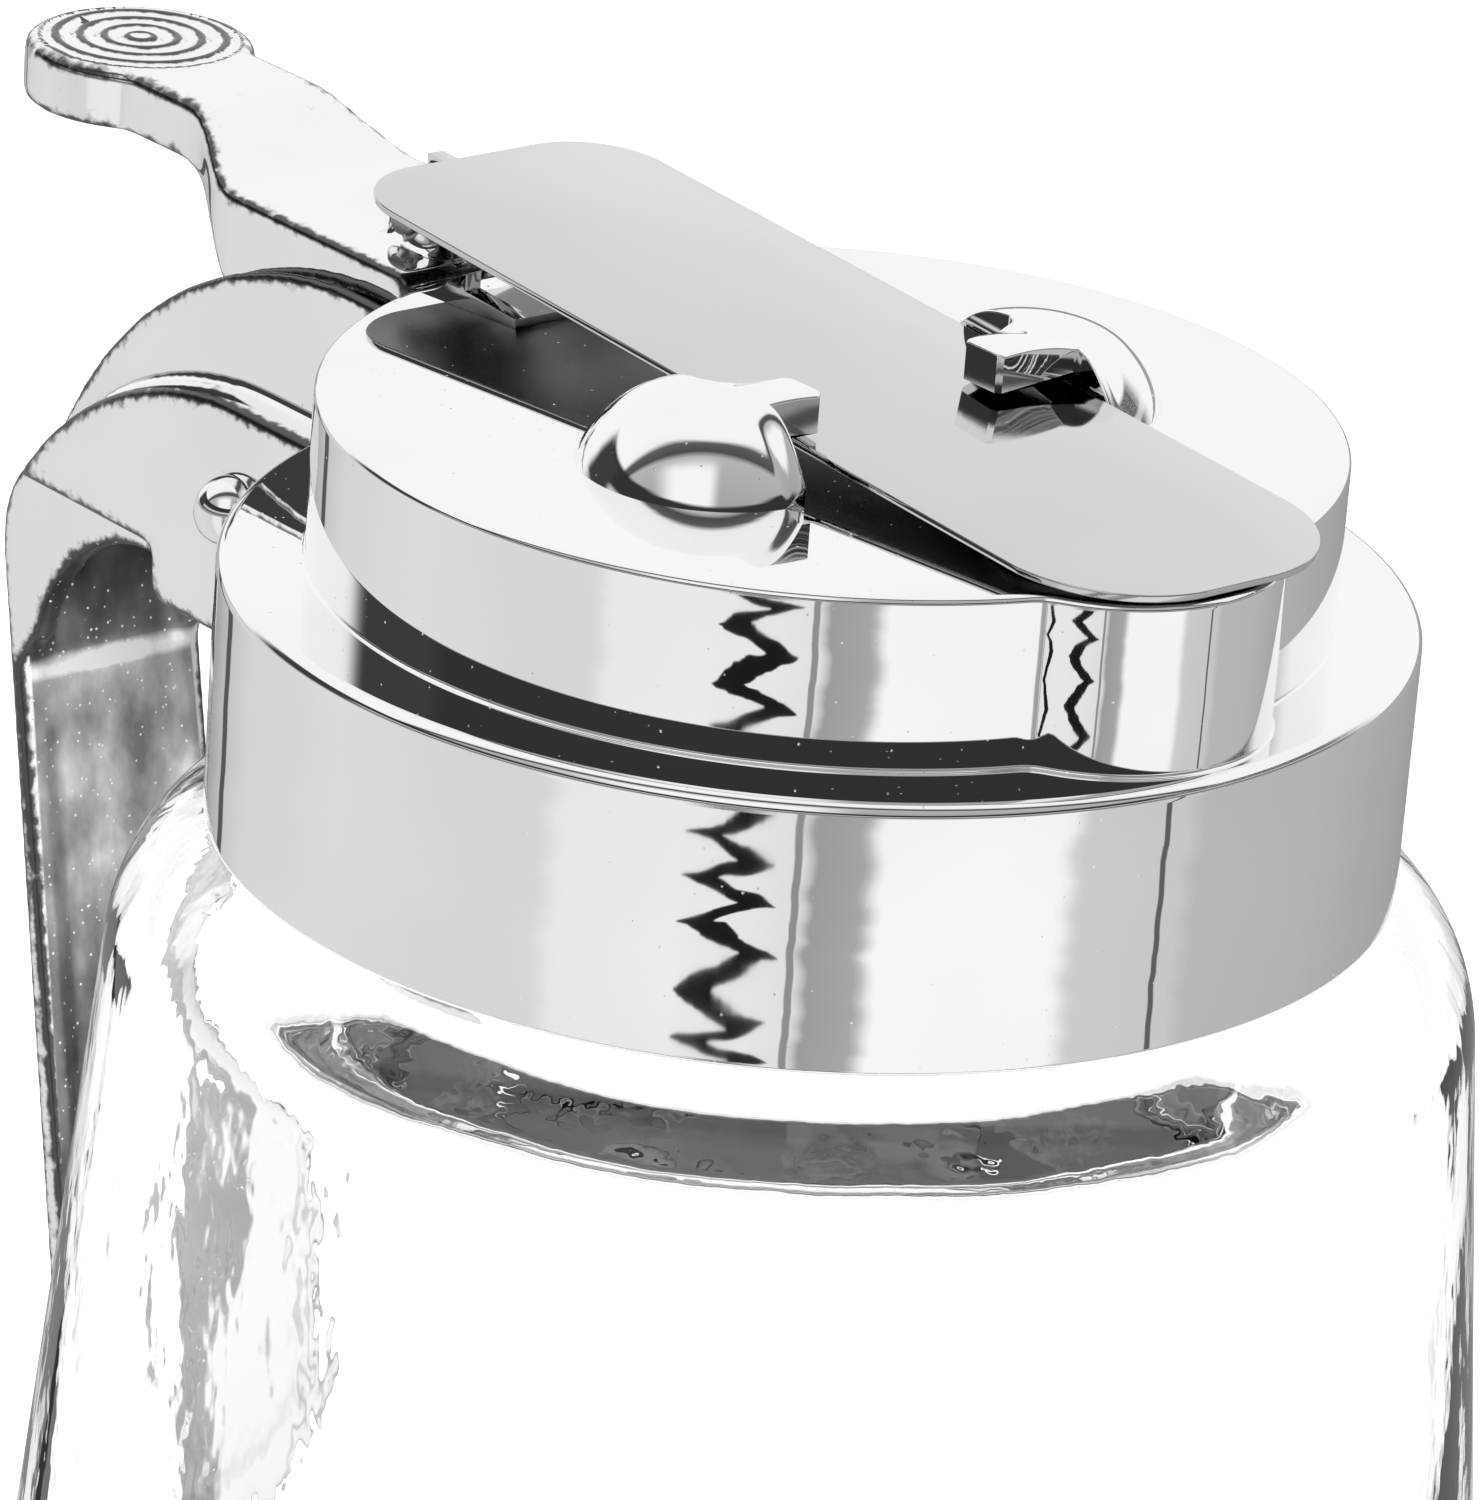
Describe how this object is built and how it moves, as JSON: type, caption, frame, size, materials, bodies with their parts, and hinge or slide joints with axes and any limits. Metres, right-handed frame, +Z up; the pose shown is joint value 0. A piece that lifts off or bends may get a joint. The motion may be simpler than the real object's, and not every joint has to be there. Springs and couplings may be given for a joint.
{
  "type": "syrup dispenser",
  "caption": "Glass syrup jar with a screw-on chromed cap, a thumb lever on its handle and a thin steel blade that slides back to open the pour hole.",
  "frame": {"origin": "centre of the jar's flat foot", "axes": "+Z up along the jar's axis, +X towards the pouring nose, -X towards the handle and thumb lever"},
  "size_m": [0.1252, 0.0984, 0.1351],
  "materials": {
    "clear_glass": "clear, thick, slightly rippled",
    "sealing_rubber": "matte",
    "mirror_chrome": "mirror bright",
    "white_plastic": "satin",
    "satin_steel": "satin",
    "fastener_steel": "plain"
  },
  "bodies": {
    "jar": {"glass_jar": "clear_glass"},
    "seal": {"jar_gasket": "sealing_rubber"},
    "cap": {"cap_shell": "mirror_chrome", "threaded_liner": "white_plastic", "pour_seat": "satin_steel", "blade_guide_near": "mirror_chrome", "blade_guide_far": "mirror_chrome", "guide_screws": "fastener_steel", "handle": "mirror_chrome", "handle_screws": "fastener_steel", "hinge_pin": "mirror_chrome", "pin_cap": "mirror_chrome", "spring_bush": "white_plastic", "return_spring": "fastener_steel"},
    "lever": {"thumb_lever": "mirror_chrome", "drive_pin": "fastener_steel"},
    "blade": {"shutter_blade": "satin_steel", "blade_tab": "satin_steel"}
  },
  "joints": [
    {"name": "cap_lift", "type": "slide", "parent": "jar", "child": "seal", "axis": [0, 0, 1], "range_m": [0, 0.006]},
    {"name": "cap_turn", "type": "hinge", "parent": "seal", "child": "cap", "pos_m": [0, 0, 0.115], "axis": [0, 0, 1], "range_deg": [0, 540]},
    {"name": "lever_swing", "type": "hinge", "parent": "cap", "child": "lever", "pos_m": [-0.0415, 0, 0.1122], "axis": [0, -1, 0], "range_deg": [0, 32], "stiffness_Nm_per_rad": 0.12, "springref_deg": -34.38, "deforming": ["return_spring"]},
    {"name": "blade_slide", "type": "slide", "parent": "cap", "child": "blade", "axis": [-0.9982, 0, 0.0593], "range_m": [0, 0.01104]}
  ],
  "couplings": [
    {"joint": "cap_turn", "follows": "cap_lift", "rad_per_m": 1570.8},
    {"joint": "lever_swing", "follows": "blade_slide", "rad_per_m": 50.567}
  ]
}
